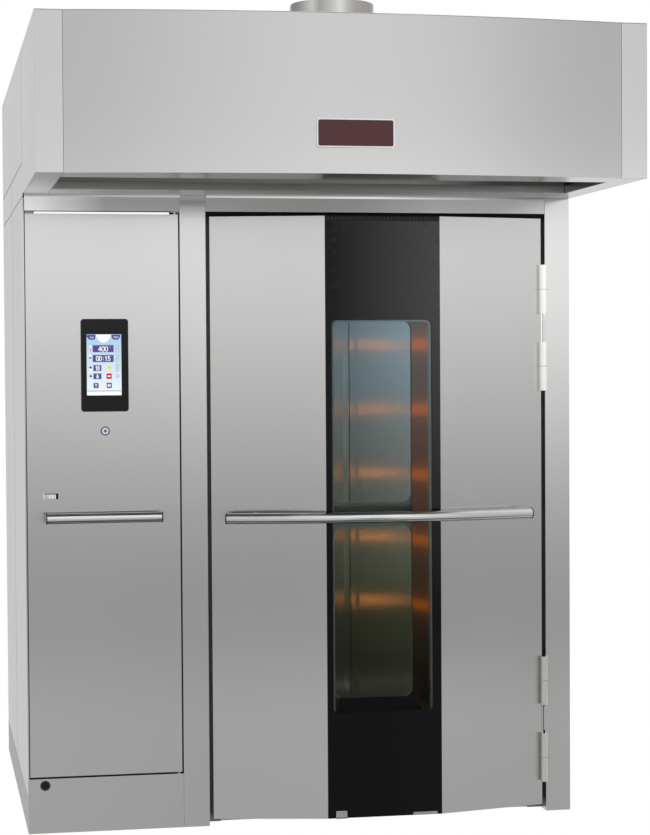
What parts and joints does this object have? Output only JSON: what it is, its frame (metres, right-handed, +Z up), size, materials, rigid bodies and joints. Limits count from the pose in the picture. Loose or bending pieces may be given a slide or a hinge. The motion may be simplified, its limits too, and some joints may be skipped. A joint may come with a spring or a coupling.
{
  "type": "rotating rack oven",
  "caption": "Full-height bakery rack oven with a bay door, exhaust hood, touch-screen access door and a lifting, turning rack carrier.",
  "frame": {"origin": "middle of the bounding box's footprint, on the floor", "axes": "+X to the right seen from the front, +Y to the back, +Z up; the doors and the hood face -Y"},
  "size_m": [1.829, 2.439, 2.612],
  "materials": {
    "stainless": "satin",
    "bright_stainless": "satin",
    "liner_steel": "satin",
    "insulated_panel": "satin",
    "galvanised": "matte",
    "enclosure": "satin",
    "motor_paint": "satin",
    "black_glass": "gloss",
    "clear_glass": "gloss",
    "black_plastic": "matte",
    "rubber": "matte",
    "screen_glass": "gloss",
    "button_light": "gloss"
  },
  "bodies": {
    "frame": {"base_frame": "galvanised", "kick_panel": "stainless", "left_side_panel_front": "stainless", "left_side_panel_rear": "stainless", "right_side_panel": "stainless", "back_panel": "stainless", "waist_band": "stainless", "casing_wall": "stainless", "casing_roof": "stainless", "centre_post": "stainless", "right_post": "stainless", "header_left": "stainless", "header_right": "stainless", "access_pivot_bracket": "bright_stainless", "hood_front_panel": "stainless", "hood_end_left": "stainless", "hood_end_right": "stainless", "hood_roof": "stainless", "hood_ledge": "stainless", "hood_baffle": "stainless", "exhaust_collar": "bright_stainless", "chamber_left_wall": "insulated_panel", "chamber_right_wall": "insulated_panel", "chamber_back_wall": "insulated_panel", "chamber_ceiling": "insulated_panel", "chamber_floor": "liner_steel", "door_jamb": "liner_steel", "supply_duct": "liner_steel", "lamp_column": "enclosure", "rotator_gearmotor": "motor_paint", "heat_exchanger": "insulated_panel", "burner_box": "enclosure", "control_box": "enclosure", "blower_housing": "galvanised", "blower_motor": "motor_paint", "hinge_upper_frame_leaf": "bright_stainless", "hinge_lower_frame_leaf": "bright_stainless"},
    "main_door": {"door_core": "insulated_panel", "door_skin_left": "stainless", "door_skin_right": "stainless", "door_outer_glass": "black_glass", "door_vent_strip": "black_plastic", "door_inner_glass": "clear_glass", "door_liner": "liner_steel", "door_gasket": "rubber", "door_handle": "bright_stainless", "hinge_upper_door_leaf": "bright_stainless", "hinge_lower_door_leaf": "bright_stainless"},
    "access_door": {"access_door_panel": "stainless", "touch_bezel": "black_glass", "touch_display": "screen_glass", "access_handle": "bright_stainless", "button_ring": "bright_stainless"},
    "power_button": {"power_button": "button_light"},
    "latch_slide": {"latch_slide": "bright_stainless"},
    "rack_lift": {"lift_yoke": "galvanised"},
    "rack_turntable": {"rotator_shaft": "bright_stainless", "rack_carrier": "liner_steel"},
    "blower_rotor": {"blower_wheel": "galvanised"}
  },
  "joints": [
    {"name": "main_door_swing", "type": "hinge", "parent": "frame", "child": "main_door", "pos_m": [0.8195, -0.3715, 1], "axis": [0, 0, 1], "range_deg": [0, 120]},
    {"name": "access_door_swing", "type": "hinge", "parent": "frame", "child": "access_door", "pos_m": [-0.4215, -0.3475, 1], "axis": [0, 0, 1], "range_deg": [0, 95]},
    {"name": "power_button_press", "type": "slide", "parent": "access_door", "child": "power_button", "axis": [0, 1, 0], "range_m": [0, 0.003], "stiffness_N_per_m": 800, "springref_m": -0.001},
    {"name": "latch_slide_open", "type": "slide", "parent": "access_door", "child": "latch_slide", "axis": [1, 0, 0], "range_m": [0, 0.008], "stiffness_N_per_m": 300, "springref_m": -0.002},
    {"name": "rack_lift_raise", "type": "slide", "parent": "frame", "child": "rack_lift", "axis": [0, 0, 1], "range_m": [0, 0.03]},
    {"name": "rack_spin", "type": "hinge", "parent": "rack_lift", "child": "rack_turntable", "pos_m": [0.254, 0.4205, 1.9], "axis": [0, 0, 1], "continuous": true},
    {"name": "blower_spin", "type": "hinge", "parent": "frame", "child": "blower_rotor", "pos_m": [-0.6595, 0.73085, 1.55], "axis": [0, 0, 1], "continuous": true}
  ]
}
